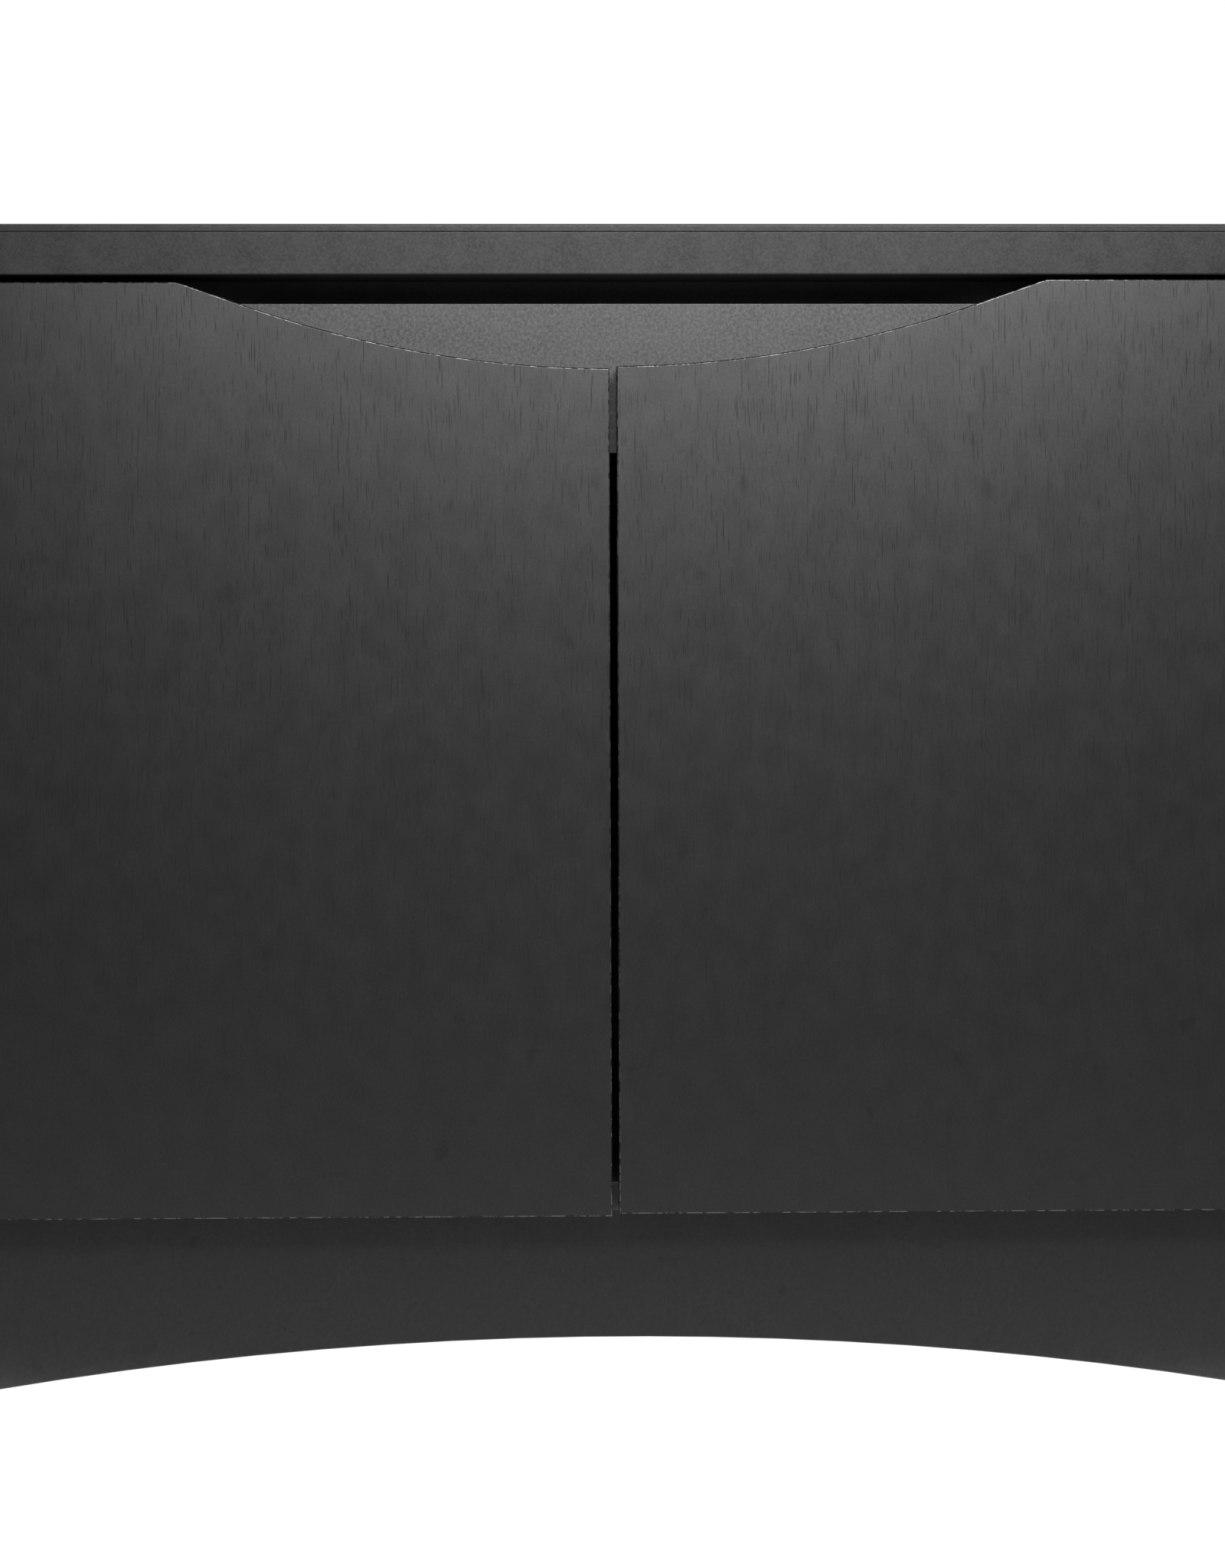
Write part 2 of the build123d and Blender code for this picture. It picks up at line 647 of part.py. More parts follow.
# --- Concealed hinges --------------------------------------------------------------------
def profile_plane(side, level):
    """Plane of a hinge's side view: x inward from the door's edge, y forward."""
    return Plane(origin=(side * DOOR_OUTER, DOOR_BACK, level), x_dir=(-side, 0, 0), z_dir=(0, 0, side))


def wall_plane(side, level, inward):
    """Plane parallel to the side panel: x forward from the door's back, normal inward."""
    origin = (side * (DOOR_OUTER - inward), DOOR_BACK, level)
    return Plane(origin=origin, x_dir=(0, -1, 0), z_dir=(-side, 0, 0))


def cup_plane(side, level, forward):
    """Plane parallel to the door's back face, centred on the cup, normal forward."""
    origin = (side * (DOOR_OUTER - CUP_CENTRE), DOOR_BACK - forward, level)
    return Plane(origin=origin, x_dir=(-side, 0, 0), z_dir=(0, -1, 0))


LINK_ANGLE = degrees(atan2(ARM_PIN[1] - CUP_PIN[1], ARM_PIN[0] - CUP_PIN[0]))
LINK_LENGTH = hypot(ARM_PIN[0] - CUP_PIN[0], ARM_PIN[1] - CUP_PIN[1])
LINK_MIDDLE = ((ARM_PIN[0] + CUP_PIN[0]) / 2, (ARM_PIN[1] + CUP_PIN[1]) / 2)
HOLLOW_MARGIN = 10.0
CUP_INNER = CUP_RADIUS - CUP_FIT - CUP_WALL

for side_name, side in SIDES.items():
    drop = door_drop(side)
    levels = {place: height - drop for place, height in HINGE_HEIGHTS.items()}
    for place, level in levels.items():
        with BuildPart() as plate:
            with BuildSketch(wall_plane(side, HINGE_HEIGHTS[place], SIDE_FACE)):
                with Locations((-PLATE_SCREW_BACK, 0)):
                    RectangleRounded(PLATE_WIDTH, PLATE_LENGTH, PLATE_CORNER)
                with Locations(
                    (-PLATE_SCREW_BACK, -PLATE_SCREW_SPREAD),
                    (-PLATE_SCREW_BACK, PLATE_SCREW_SPREAD),
                ):
                    Circle(PLATE_SCREW[0], mode=Mode.SUBTRACT)
            extrude(amount=PLATE_THICK)
            with BuildSketch(wall_plane(side, level, SIDE_FACE)):
                with Locations((-(ARM_REACH + RIDGE_START) / 2, 0)):
                    Rectangle(ARM_REACH - RIDGE_START, 2 * RIDGE_HALF)
            extrude(amount=ARM_LOW - SIDE_FACE)
            with BuildSketch(wall_plane(side, level, SIDE_FACE)):
                with Locations((-ARM_SCREW_BACK, 0)):
                    Circle(ARM_SCREW[0])
            extrude(amount=ARM_LOW - SIDE_FACE, mode=Mode.SUBTRACT)
        save(plate, f"hinge_plate_{side_name}_{place}")

        with BuildPart() as arm:
            with BuildSketch(profile_plane(side, level)):
                with BuildLine():
                    Polyline(
                        (ARM_PIN[0] - ARM_NOSE, ARM_PIN[1]),
                        (ARM_PIN[0] - ARM_NOSE, -ARM_NECK),
                        (ARM_LOW, -ARM_HEEL),
                        (ARM_LOW, -ARM_REACH),
                        (ARM_HIGH, -ARM_REACH),
                        (ARM_HIGH, ARM_PIN[1]),
                    )
                    ThreePointArc(
                        (ARM_HIGH, ARM_PIN[1]),
                        (ARM_PIN[0], ARM_PIN[1] + ARM_NOSE),
                        (ARM_PIN[0] - ARM_NOSE, ARM_PIN[1]),
                    )
                make_face()
            extrude(amount=ARM_HALF_WIDTH, both=True)
            with BuildSketch(profile_plane(side, level)):
                with Locations((ARM_HIGH - ARM_WALL, 0)):
                    Rectangle(
                        ARM_HIGH,
                        2 * (ARM_REACH + HOLLOW_MARGIN),
                        align=(Align.MAX, Align.CENTER),
                    )
                with Locations((ARM_HIGH, sum(ARM_WINDOW) / 2)):
                    Rectangle(4 * ARM_WALL, ARM_WINDOW[1] - ARM_WINDOW[0])
            extrude(amount=ARM_HALF_WIDTH - ARM_WALL, both=True, mode=Mode.SUBTRACT)
            with BuildSketch(profile_plane(side, level)):
                with Locations(ARM_PIN):
                    Circle(PIN_RADIUS)
            extrude(amount=ARM_HALF_WIDTH, both=True, mode=Mode.SUBTRACT)
            with BuildSketch(wall_plane(side, level, ARM_LOW)):
                with Locations((-ARM_SCREW_BACK, 0)):
                    Circle(ARM_SCREW[0])
            extrude(amount=ARM_HIGH - ARM_LOW, mode=Mode.SUBTRACT)
        save(arm, f"hinge_arm_{side_name}_{place}")

        with BuildPart() as link:
            with BuildSketch(profile_plane(side, level)):
                with Locations(Location((*LINK_MIDDLE, 0), (0, 0, LINK_ANGLE))):
                    Rectangle(LINK_LENGTH, LINK_THICK)
                with Locations(CUP_PIN, ARM_PIN):
                    Circle(KNUCKLE_RADIUS)
                with Locations(CUP_PIN, ARM_PIN):
                    Circle(PIN_RADIUS + PIN_CLEARANCE, mode=Mode.SUBTRACT)
            extrude(amount=LINK_HALF_WIDTH, both=True)
        save(link, f"hinge_link_{side_name}_{place}")

        with BuildPart() as cup:
            with BuildSketch(cup_plane(side, level, -CUP_FLANGE)):
                Circle(CUP_RADIUS + CUP_LIP)
                with Locations((CUP_SCREW_BACK, 0)):
                    RectangleRounded(CUP_EAR_WIDTH, CUP_EAR_LENGTH, CUP_EAR_CORNER)
            extrude(amount=CUP_FLANGE)
            with BuildSketch(cup_plane(side, level, 0)):
                Circle(CUP_RADIUS - CUP_FIT)
            extrude(amount=CUP_DEPTH - CUP_FIT)
            with BuildSketch(cup_plane(side, level, -CUP_FLANGE)):
                Circle(CUP_INNER)
            extrude(amount=CUP_DEPTH + CUP_FLANGE - CUP_WALL, mode=Mode.SUBTRACT)
            with BuildSketch(cup_plane(side, level, -CUP_FLANGE)):
                with Locations((CUP_SCREW_BACK, -CUP_SCREW_SPREAD), (CUP_SCREW_BACK, CUP_SCREW_SPREAD)):
                    Circle(CUP_SCREW[0])
                with Locations((sum(CUP_NOTCH) / 2 - CUP_CENTRE, 0)):
                    Rectangle(CUP_NOTCH[1] - CUP_NOTCH[0], CUP_NOTCH_WIDTH)
            extrude(amount=CUP_FLANGE, mode=Mode.SUBTRACT)
        save(cup, f"hinge_cup_{side_name}_{place}")

    with BuildPart() as arm_pins:
        for level in levels.values():
            with BuildSketch(profile_plane(side, level)):
                with Locations(ARM_PIN):
                    Circle(PIN_RADIUS)
            extrude(amount=ARM_HALF_WIDTH, both=True)
    save(arm_pins, f"hinge_arm_pins_{side_name}")

    with BuildPart() as cup_pins:
        pin_reach = CUP_CENTRE - CUP_PIN[0] + PIN_RADIUS
        pin_half = sqrt(CUP_INNER**2 - pin_reach**2) - CUP_FIT
        for level in levels.values():
            with BuildSketch(profile_plane(side, level)):
                with Locations(CUP_PIN):
                    Circle(PIN_RADIUS)
            extrude(amount=pin_half, both=True)
    save(cup_pins, f"hinge_cup_pins_{side_name}")

    with BuildPart() as cup_screws:
        cup_seats = [
            (side * (DOOR_OUTER - CUP_CENTRE - CUP_SCREW_BACK), DOOR_BACK + CUP_FLANGE, level + spread)
            for level in levels.values()
            for spread in (-CUP_SCREW_SPREAD, CUP_SCREW_SPREAD)
        ]
        screws(cup_seats, (0, 1, 0), CUP_SCREW)
    save(cup_screws, f"hinge_cup_screws_{side_name}")

with BuildPart() as plate_screws:
    for side in SIDES.values():
        plate_seats = [(x - side * PLATE_THICK, y, z) for x, y, z in PLATE_SCREW_SPOTS[side]]
        screws(plate_seats, (-side, 0, 0), PLATE_SCREW)
save(plate_screws, "hinge_plate_screws")

with BuildPart() as arm_screws:
    for side in SIDES.values():
        arm_seats = [
            (side * (DOOR_OUTER - ARM_HIGH), DOOR_BACK + ARM_SCREW_BACK, height - door_drop(side))
            for height in HINGE_HEIGHTS.values()
        ]
        screws(arm_seats, (-side, 0, 0), ARM_SCREW)
save(arm_screws, "hinge_arm_screws")
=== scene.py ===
"""Aquarium stand cabinet in a plain studio: materials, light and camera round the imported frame."""
import json
import math

import bpy
from mathutils import Matrix, Vector


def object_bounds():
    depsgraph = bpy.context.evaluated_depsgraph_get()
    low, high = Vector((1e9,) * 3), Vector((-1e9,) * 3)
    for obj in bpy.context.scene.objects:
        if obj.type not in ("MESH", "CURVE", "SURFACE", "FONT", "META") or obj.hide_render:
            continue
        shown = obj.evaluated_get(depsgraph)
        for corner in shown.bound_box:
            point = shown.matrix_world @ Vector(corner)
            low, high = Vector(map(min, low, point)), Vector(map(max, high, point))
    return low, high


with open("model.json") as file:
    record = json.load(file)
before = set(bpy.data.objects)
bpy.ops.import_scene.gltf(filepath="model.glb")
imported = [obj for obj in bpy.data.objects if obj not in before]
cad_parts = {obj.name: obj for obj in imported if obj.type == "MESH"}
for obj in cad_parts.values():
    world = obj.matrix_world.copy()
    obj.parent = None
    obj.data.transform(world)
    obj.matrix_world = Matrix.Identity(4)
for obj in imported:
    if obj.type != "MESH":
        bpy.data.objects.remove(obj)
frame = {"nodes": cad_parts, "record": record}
cad_low, cad_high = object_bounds()

FRONT_Y = cad_low.y
HEIGHT = cad_high.z


# --- Small helpers for node materials ----------------------------------------------------
class Shader:
    """A node material in the making. Its coordinates are the object's own, in metres."""

    def __init__(self, name, colour, roughness, specular=0.5, metallic=0.0):
        self.material = bpy.data.materials.new(name)
        self.material.use_nodes = True
        self.nodes = self.material.node_tree.nodes
        self.links = self.material.node_tree.links
        self.bsdf = self.nodes["Principled BSDF"]
        self.bsdf.inputs["Base Color"].default_value = (*colour, 1.0)
        self.bsdf.inputs["Roughness"].default_value = roughness
        self.bsdf.inputs["Specular IOR Level"].default_value = specular
        self.bsdf.inputs["Metallic"].default_value = metallic
        self.coords = self.nodes.new("ShaderNodeTexCoord").outputs["Object"]
        self.heights = []

    def set(self, socket, value):
        """Link an output, or write a constant, into an input."""
        if isinstance(value, bpy.types.NodeSocket):
            self.links.new(value, socket)
        else:
            socket.default_value = value

    def stretch(self, size, source=None):
        """Coordinates scaled so that one unit spans size metres along each axis."""
        node = self.nodes.new("ShaderNodeMapping")
        self.set(node.inputs["Vector"], source or self.coords)
        node.inputs["Scale"].default_value = [1.0 / length for length in size]
        return node.outputs["Vector"]

    def noise(self, vector, detail=2.0, roughness=0.5):
        """Soft noise from 0 to 1, one lump per unit."""
        node = self.nodes.new("ShaderNodeTexNoise")
        self.set(node.inputs["Vector"], vector)
        node.inputs["Scale"].default_value = 1.0
        node.inputs["Detail"].default_value = detail
        node.inputs["Roughness"].default_value = roughness
        return node.outputs["Fac"]

    def pores(self, vector, width, length, smallest, largest):
        """Upright spindles on the XZ plane, one per width by length metres."""
        tilt = self.nodes.new("ShaderNodeMapping")
        self.set(tilt.inputs["Vector"], self.stretch((width, 1.0, length), vector))
        tilt.inputs["Rotation"].default_value = (math.radians(-90.0), 0.0, 0.0)
        node = self.nodes.new("ShaderNodeTexVoronoi")
        node.voronoi_dimensions = "2D"
        node.inputs["Scale"].default_value = 1.0
        self.set(node.inputs["Vector"], tilt.outputs["Vector"])
        chance = self.nodes.new("ShaderNodeSeparateColor")
        self.set(chance.inputs["Color"], node.outputs["Color"])
        size = self.remap(chance.outputs["Red"], 0.0, 1.0, smallest, largest)
        reach = self.math("SUBTRACT", size, node.outputs["Distance"])
        return self.remap(reach, 0.0, 0.18)

    def facing(self, axis):
        """1 on faces square to one of the object's axes, 0 on faces that point another way."""
        coords = self.nodes.new("ShaderNodeTexCoord")
        parts = self.nodes.new("ShaderNodeSeparateXYZ")
        self.set(parts.inputs["Vector"], coords.outputs["Normal"])
        return self.remap(self.math("ABSOLUTE", parts.outputs[axis]), 0.985, 0.999)

    def specular(self, value):
        self.set(self.bsdf.inputs["Specular IOR Level"], value)

    def remap(self, value, low, high, new_low=0.0, new_high=1.0):
        """Spread low..high over new_low..new_high, clamped."""
        node = self.nodes.new("ShaderNodeMapRange")
        for socket, amount in zip(node.inputs, (value, low, high, new_low, new_high)):
            self.set(socket, amount)
        return node.outputs["Result"]

    def math(self, operation, first, second=0.0):
        """One arithmetic step."""
        node = self.nodes.new("ShaderNodeMath")
        node.operation = operation
        self.set(node.inputs[0], first)
        self.set(node.inputs[1], second)
        return node.outputs["Value"]

    def mix(self, factor, first, second):
        """Go from the first value to the second as the factor goes from 0 to 1."""
        return self.remap(factor, 0.0, 1.0, first, second)

    def blend(self, factor, first, second):
        """Mix two colours."""
        node = self.nodes.new("ShaderNodeMix")
        node.data_type = "RGBA"
        colours = [socket for socket in node.inputs if socket.type == "RGBA"]
        self.set(node.inputs["Factor"], factor)
        for socket, colour in zip(colours, (first, second)):
            value = colour if isinstance(colour, bpy.types.NodeSocket) else (*colour, 1.0)
            self.set(socket, value)
        return next(socket for socket in node.outputs if socket.type == "RGBA")

    def shift(self, vector, offset_x, amount):
        """Move coordinates along X by a 0..1 value, up to amount metres."""
        parts = self.nodes.new("ShaderNodeSeparateXYZ")
        self.set(parts.inputs["Vector"], vector)
        moved = self.math("MULTIPLY_ADD", offset_x, amount)
        self.set(moved.node.inputs[2], parts.outputs["X"])
        joined = self.nodes.new("ShaderNodeCombineXYZ")
        self.set(joined.inputs["X"], moved)
        self.set(joined.inputs["Y"], parts.outputs["Y"])
        self.set(joined.inputs["Z"], parts.outputs["Z"])
        return joined.outputs["Vector"]

    def height(self):
        """Height in metres above the object's origin."""
        parts = self.nodes.new("ShaderNodeSeparateXYZ")
        self.set(parts.inputs["Vector"], self.coords)
        return parts.outputs["Z"]

    def colour(self, value):
        self.set(self.bsdf.inputs["Base Color"], value)

    def roughness(self, value):
        self.set(self.bsdf.inputs["Roughness"], value)

    def bump(self, height, depth, strength=1.0):
        """Raise the surface by a 0..1 height times depth metres, over the bumps before it."""
        node = self.nodes.new("ShaderNodeBump")
        node.inputs["Strength"].default_value = strength
        node.inputs["Distance"].default_value = depth
        self.set(node.inputs["Height"], height)
        if self.heights:
            self.set(node.inputs["Normal"], self.heights[-1])
        self.heights.append(node.outputs["Normal"])
        self.set(self.bsdf.inputs["Normal"], node.outputs["Normal"])


# --- Materials ---------------------------------------------------------------------------
def door_veneer():
    """Black-stained veneer: upright pores that fade out low down, mottle, and unevenly glossy edges."""
    stain = (0.007, 0.007, 0.0075)
    s = Shader("door_veneer", stain, 0.375)
    wave = s.noise(s.stretch((0.06, 0.3, 0.12)), detail=1.0)
    grain = s.shift(s.coords, wave, 0.004)
    drift = s.noise(s.stretch((0.02, 0.02, 0.12)), detail=2.0)
    tracks = s.noise(s.stretch((0.0035, 0.0035, 0.22), grain), detail=2.0)
    rows = s.remap(tracks, 0.34, 0.50, 0.4, 1.0)
    patches = s.remap(drift, 0.3, 0.6, 0.6, 1.0)
    # Pores show fully from 0.5 m up and fade to a twentieth of that by 0.2 m above the origin, in patches.
    pore_fade = s.math("MULTIPLY", patches, s.remap(s.height(), 0.2, 0.5, 0.05, 1.0))
    long_pores = s.pores(grain, 0.0018, 0.046, 0.04, 0.32)
    short_pores = s.pores(grain, 0.0017, 0.02, 0.05, 0.32)
    all_pores = s.math("MAXIMUM", long_pores, short_pores)
    pores = s.math("MULTIPLY", all_pores, s.math("MULTIPLY", pore_fade, rows))
    grit = s.noise(s.stretch((0.0014, 0.0014, 0.0016)), detail=1.0)
    cloud = s.noise(s.stretch((0.014, 0.014, 0.018)), detail=2.0)
    smudge = s.remap(s.noise(s.stretch((0.016, 0.016, 0.022)), detail=3.0), 0.66, 0.76)
    wear = s.noise(s.stretch((0.004, 0.004, 0.004)), detail=3.0)
    s.colour(s.blend(pores, stain, (0.003, 0.003, 0.003)))
    coat = s.remap(cloud, 0.3, 0.7, 0.358, 0.392)
    face = s.math("ADD", coat, s.math("MULTIPLY", pores, 0.08))
    s.roughness(s.mix(s.facing("Y"), s.remap(wear, 0.4, 0.6, 0.16, 0.34), face))
    mottle = s.remap(grit, 0.25, 0.75, 0.44, 0.56)
    stained = s.math("SUBTRACT", mottle, s.math("MULTIPLY", smudge, 0.09))
    edge = s.remap(wear, 0.46, 0.58, 0.1, 0.9)
    s.specular(s.mix(s.facing("Y"), edge, s.mix(pores, stained, 0.25)))
    s.bump(grit, 0.000006)
    s.bump(s.math("SUBTRACT", 1.0, pores), 0.00001)
    return s.material


def satin_board(name, colour, roughness, specular=0.5, lump=0.0015, depth=0.00001, fleck=0.3,
                deck=None):
    """Smooth black board with a fine satin texture and faint clouding; a deck is its rougher top."""
    s = Shader(name, colour, roughness, specular)
    fine = s.noise(s.stretch((lump, lump, lump)), detail=1.0)
    cloud = s.noise(s.stretch((0.018, 0.018, 0.022)), detail=3.0)
    lighter = [channel * 1.22 for channel in colour]
    darker = [channel * 0.85 for channel in colour]
    clouded = s.blend(s.remap(cloud, 0.3, 0.7), darker, lighter)
    s.colour(s.blend(s.remap(fine, 0.3, 0.7, 0.0, 0.8), clouded, lighter))
    coat = s.remap(cloud, 0.3, 0.7, roughness - 0.035, roughness + 0.035)
    s.roughness(coat if deck is None else s.mix(s.facing("Z"), coat, deck))
    smudge = s.remap(s.noise(s.stretch((0.012, 0.012, 0.01)), detail=3.0), 0.66, 0.76)
    mottle = s.remap(fine, 0.25, 0.75, specular * (1 - fleck), specular * (1 + fleck))
    s.specular(s.math("SUBTRACT", mottle, s.math("MULTIPLY", smudge, specular * 0.2)))
    s.bump(fine, depth, 0.6)
    return s.material


def textured_rail():
    """Black board faced with a coarse, dusty grain."""
    s = Shader("textured_rail", (0.04, 0.04, 0.041), 0.45, specular=0.35)
    grit = s.noise(s.stretch((0.002, 0.002, 0.0022)), detail=4.0, roughness=0.8)
    drift = s.noise(s.stretch((0.03, 0.03, 0.02)), detail=2.0)
    speck = s.blend(s.remap(grit, 0.38, 0.64), (0.002, 0.002, 0.002), (0.047, 0.047, 0.048))
    s.colour(s.blend(s.remap(drift, 0.35, 0.75, 0.0, 0.35), speck, (0.04, 0.04, 0.041)))
    s.roughness(s.remap(grit, 0.3, 0.7, 0.47, 0.42))
    s.bump(grit, 0.00005)
    return s.material


def hardboard():
    """Black-faced hardboard with a faint felted texture."""
    s = Shader("back_board", (0.03, 0.03, 0.03), 0.6)
    felt = s.noise(s.stretch((0.0012, 0.0012, 0.0012)), detail=4.0, roughness=0.7)
    cloud = s.noise(s.stretch((0.2, 0.2, 0.15)), detail=3.0)
    s.colour(s.blend(s.remap(felt, 0.3, 0.7), (0.022, 0.022, 0.022), (0.045, 0.044, 0.043)))
    s.roughness(s.remap(cloud, 0.3, 0.7, 0.52, 0.68))
    s.bump(felt, 0.0001, 0.6)
    return s.material


def sawn_wood(name, light, dark, ring):
    """Bare wood with growth lines and sawn fibre."""
    s = Shader(name, light, 0.65, specular=0.3)
    bend = s.noise(s.stretch((0.05, 0.05, 0.05)), detail=2.0)
    lines = s.noise(s.stretch((ring * 12, ring, ring), s.shift(s.coords, bend, 0.01)), detail=3.0)
    fibre = s.noise(s.stretch((0.01, 0.0005, 0.0005)), detail=2.0)
    tone = s.blend(s.remap(lines, 0.35, 0.65), light, dark)
    s.colour(s.blend(s.remap(fibre, 0.4, 0.7, 0.0, 0.35), tone, dark))
    s.roughness(s.remap(fibre, 0.3, 0.7, 0.58, 0.75))
    s.bump(fibre, 0.0001, 0.5)
    return s.material


def plated_steel(name, colour, roughness):
    """Plated pressed steel: fine rolling lines and slight dulling."""
    s = Shader(name, colour, roughness, metallic=1.0)
    lines = s.noise(s.stretch((0.0003, 0.012, 0.0003)), detail=2.0)
    dull = s.noise(s.stretch((0.01, 0.01, 0.01)), detail=4.0)
    darker = [channel * 0.8 for channel in colour]
    s.colour(s.blend(s.remap(dull, 0.35, 0.7), colour, darker))
    s.roughness(s.remap(dull, 0.3, 0.7, roughness - 0.05, roughness + 0.1))
    s.bump(lines, 0.00001, 0.4)
    return s.material


def moulded_plastic():
    """Black moulded plastic with a spark-eroded grain."""
    s = Shader("black_plastic", (0.02, 0.02, 0.02), 0.5)
    spark = s.noise(s.stretch((0.0005, 0.0005, 0.0005)), detail=3.0)
    s.colour(s.blend(s.remap(spark, 0.35, 0.65), (0.014, 0.014, 0.014), (0.03, 0.03, 0.03)))
    s.roughness(s.remap(spark, 0.3, 0.7, 0.42, 0.6))
    s.bump(spark, 0.00005, 0.6)
    return s.material


def clear_bumper():
    """Soft greyish polyurethane, slightly cloudy."""
    s = Shader("clear_bumper", (0.5, 0.5, 0.48), 0.3)
    milk = s.noise(s.stretch((0.003, 0.003, 0.003)), detail=2.0)
    s.colour(s.blend(s.remap(milk, 0.3, 0.7), (0.42, 0.42, 0.4), (0.6, 0.6, 0.57)))
    s.roughness(s.remap(milk, 0.3, 0.7, 0.22, 0.38))
    s.bump(milk, 0.00003, 0.4)
    return s.material


MATERIALS = {
    "door_veneer": door_veneer(),
    "top_laminate": satin_board("top_laminate", (0.016, 0.016, 0.0165), 0.38, 0.16, deck=0.72),
    "carcass_board": satin_board("carcass_board", (0.026, 0.026, 0.027), 0.48, 0.4, 0.0009, 0.00003),
    "plinth_board": satin_board("plinth_board", (0.005, 0.005, 0.0055), 0.15, 0.52, fleck=0.1),
    "textured_rail": textured_rail(),
    "back_board": hardboard(),
    "hinge_steel": plated_steel("hinge_steel", (0.62, 0.62, 0.63), 0.28),
    "zinc_fastener": plated_steel("zinc_fastener", (0.55, 0.55, 0.56), 0.36),
    "beech_dowel": sawn_wood("beech_dowel", (0.5, 0.34, 0.2), (0.38, 0.24, 0.13), 0.002),
    "pine_block": sawn_wood("pine_block", (0.52, 0.36, 0.19), (0.36, 0.21, 0.1), 0.004),
    "black_plastic": moulded_plastic(),
    "clear_bumper": clear_bumper(),
}


def rounding_group():
    """Geometry nodes that shade rounded edges smoothly and keep sharp ones sharp."""
    group = bpy.data.node_groups.new("soft_edges", "GeometryNodeTree")
    group.interface.new_socket("Geometry", in_out="INPUT", socket_type="NodeSocketGeometry")
    group.interface.new_socket("Geometry", in_out="OUTPUT", socket_type="NodeSocketGeometry")
    entry = group.nodes.new("NodeGroupInput")
    merge = group.nodes.new("GeometryNodeMergeByDistance")
    merge.inputs["Distance"].default_value = 0.000002
    smooth = group.nodes.new("GeometryNodeSetShadeSmooth")
    angle = group.nodes.new("GeometryNodeInputMeshEdgeAngle")
    steep = group.nodes.new("ShaderNodeMath")
    steep.operation = "GREATER_THAN"
    steep.inputs[1].default_value = math.radians(50.0)
    sharp = group.nodes.new("GeometryNodeSetShadeSmooth")
    sharp.domain = "EDGE"
    sharp.inputs["Shade Smooth"].default_value = False
    leave = group.nodes.new("NodeGroupOutput")
    group.links.new(entry.outputs[0], merge.inputs["Geometry"])
    group.links.new(merge.outputs["Geometry"], smooth.inputs["Geometry"])
    group.links.new(smooth.outputs["Geometry"], sharp.inputs["Geometry"])
    group.links.new(angle.outputs["Unsigned Angle"], steep.inputs[0])
    group.links.new(steep.outputs["Value"], sharp.inputs["Selection"])
    group.links.new(sharp.outputs["Geometry"], leave.inputs[0])
    return group


ROUNDING = rounding_group()

for entry in frame["record"]["subparts"]:
    node = frame["nodes"][entry["node"]]
    node.data.materials.clear()
    node.data.materials.append(MATERIALS[entry["material_slot"]])
    node.modifiers.new("soft_edges", "NODES").node_group = ROUNDING
    weighted = node.modifiers.new("weighted_normals", "WEIGHTED_NORMAL")
    weighted.weight = 100
    weighted.keep_sharp = True


# --- Studio ------------------------------------------------------------------------------
def aim(obj, target):
    """Point an object's -Z at a target, with its Y up."""
    direction = Vector(target) - obj.location
    obj.rotation_euler = direction.to_track_quat("-Z", "Y").to_euler()


def softbox(name, place, target, width, height, watts):
    """A rectangular area light."""
    light = bpy.data.lights.new(name, "AREA")
    light.shape = "RECTANGLE"
    light.size = width
    light.size_y = height
    light.energy = watts
    lamp = bpy.data.objects.new(name, light)
    lamp.location = place
    bpy.context.collection.objects.link(lamp)
    aim(lamp, target)


def camera_sees(tree, seen):
    """A strength for what the camera sees, and the input for the strength that lights the object."""
    path = tree.nodes.new("ShaderNodeLightPath")
    span = tree.nodes.new("ShaderNodeMapRange")
    tree.links.new(path.outputs["Is Camera Ray"], span.inputs["Value"])
    span.inputs["To Max"].default_value = seen
    return span.outputs["Result"], span.inputs["To Min"]


def floor_glow(tree, middle, width, reach, strength):
    """A pool of light on the floor, width times as wide as it is deep, that fades over its reach."""
    coords = tree.nodes.new("ShaderNodeTexCoord")
    place = tree.nodes.new("ShaderNodeMapping")
    place.vector_type = "TEXTURE"
    place.inputs["Location"].default_value = middle
    place.inputs["Scale"].default_value = (width, 1.0, 1.0)
    away = tree.nodes.new("ShaderNodeVectorMath")
    away.operation = "LENGTH"
    tree.links.new(coords.outputs["Object"], place.inputs["Vector"])
    tree.links.new(place.outputs["Vector"], away.inputs[0])
    fade = tree.nodes.new("ShaderNodeMapRange")
    tree.links.new(away.outputs["Value"], fade.inputs["Value"])
    fade.interpolation_type = "SMOOTHSTEP"
    for name, amount in zip(("From Min", "From Max", "To Min", "To Max"), reach + strength):
        fade.inputs[name].default_value = amount
    return fade.outputs["Result"]


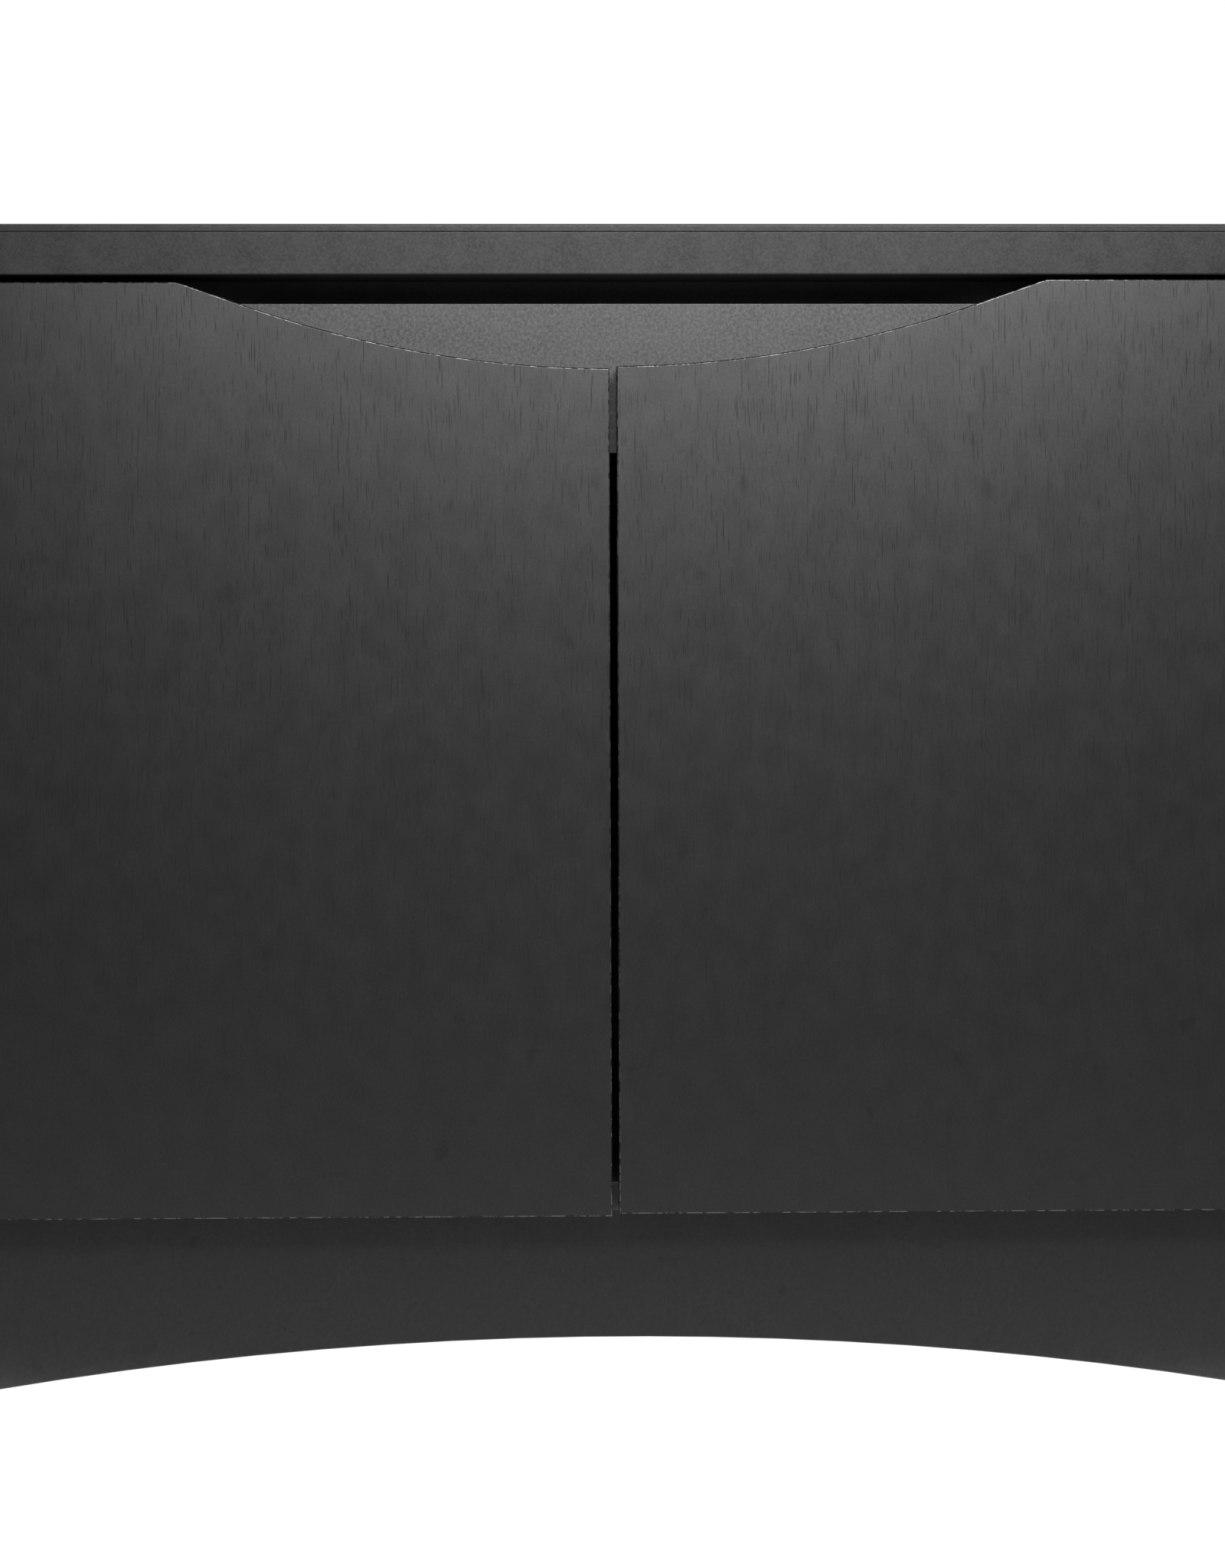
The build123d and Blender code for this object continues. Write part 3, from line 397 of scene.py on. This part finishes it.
def pale_floor():
    """A wide floor: white to the camera, grey to the object, with two pools of light on it."""
    size = 2.1
    corners = [(-size, -size, 0), (size, -size, 0), (size, size, 0), (-size, size, 0)]
    mesh = bpy.data.meshes.new("studio_floor")
    mesh.from_pydata(corners, [], [(0, 1, 2, 3)])
    floor = bpy.data.objects.new("studio_floor", mesh)
    bpy.context.collection.objects.link(floor)
    material = bpy.data.materials.new("studio_floor")
    material.use_nodes = True
    tree = material.node_tree
    bsdf = tree.nodes["Principled BSDF"]
    bsdf.inputs["Base Color"].default_value = (0.15, 0.15, 0.15, 1.0)
    bsdf.inputs["Roughness"].default_value = 0.9
    bsdf.inputs["Emission Color"].default_value = (1.0, 1.0, 1.0, 1.0)
    strength, unseen = camera_sees(tree, 1.0)
    total = tree.nodes.new("ShaderNodeMath")
    far_glow = floor_glow(tree, middle=(0.25, -1.3, 0.0), width=1.0, reach=(0.5, 1.9), strength=(0.4, 0.13))
    near_glow = floor_glow(tree, middle=(0.0, FRONT_Y, 0.0), width=5.0, reach=(0.05, 0.3), strength=(2.1, 0.0))
    tree.links.new(far_glow, total.inputs[0])
    tree.links.new(near_glow, total.inputs[1])
    tree.links.new(total.outputs["Value"], unseen)
    tree.links.new(strength, bsdf.inputs["Emission Strength"])
    mesh.materials.append(material)


def white_surround():
    """A surround that is white to the camera and nearly dark to the object."""
    world = bpy.data.worlds.new("studio")
    bpy.context.scene.world = world
    world.use_nodes = True
    tree = world.node_tree
    background = tree.nodes["Background"]
    background.inputs["Color"].default_value = (1.0, 1.0, 1.0, 1.0)
    strength, unseen = camera_sees(tree, 1.1)
    unseen.default_value = 0.005
    tree.links.new(strength, background.inputs["Strength"])


CAMERA_DISTANCE = 2.6
VIEW_HEIGHT = 0.9526
SENSOR = 36.0
CAMERA_YAW = math.radians(1.57)
CAMERA_ROLL = math.radians(0.2)
VIEW_CENTRE = Vector((-0.0012, FRONT_Y, HEIGHT - 0.3405))


def studio_camera():
    """A level camera in front, a touch to the left, framed on the doors."""
    data = bpy.data.cameras.new("camera")
    data.sensor_width = SENSOR
    data.lens = SENSOR * CAMERA_DISTANCE / VIEW_HEIGHT
    camera = bpy.data.objects.new("camera", data)
    bpy.context.collection.objects.link(camera)
    back = Vector((-math.sin(CAMERA_YAW), -math.cos(CAMERA_YAW), 0.0))
    camera.location = VIEW_CENTRE + back * CAMERA_DISTANCE
    aim(camera, VIEW_CENTRE)
    turned = camera.rotation_euler.to_matrix() @ Matrix.Rotation(-CAMERA_ROLL, 3, "Z")
    camera.rotation_euler = turned.to_euler()
    bpy.context.scene.camera = camera


pale_floor()
white_surround()
studio_camera()
upper_front = (0.0, FRONT_Y, 0.6)
lower_front = (0.0, FRONT_Y, 0.4)
middle = (0.0, 0.0, 0.7)
softbox("key", (0.132, -1.23, 1.207), upper_front, width=0.83, height=0.276, watts=33.0)
softbox("left_strip", (-2.4, -1.0, 0.8), lower_front, width=0.4, height=1.6, watts=8.0)
softbox("right_strip", (2.4, -1.0, 0.8), lower_front, width=0.4, height=1.6, watts=10.0)
softbox("backdrop", (0.0, 2.6, 1.0), middle, width=6.0, height=2.4, watts=45.0)
softbox("overhead", (0.0, 0.6, 2.6), middle, width=2.0, height=1.0, watts=15.0)
bpy.context.scene.view_settings.view_transform = "Standard"
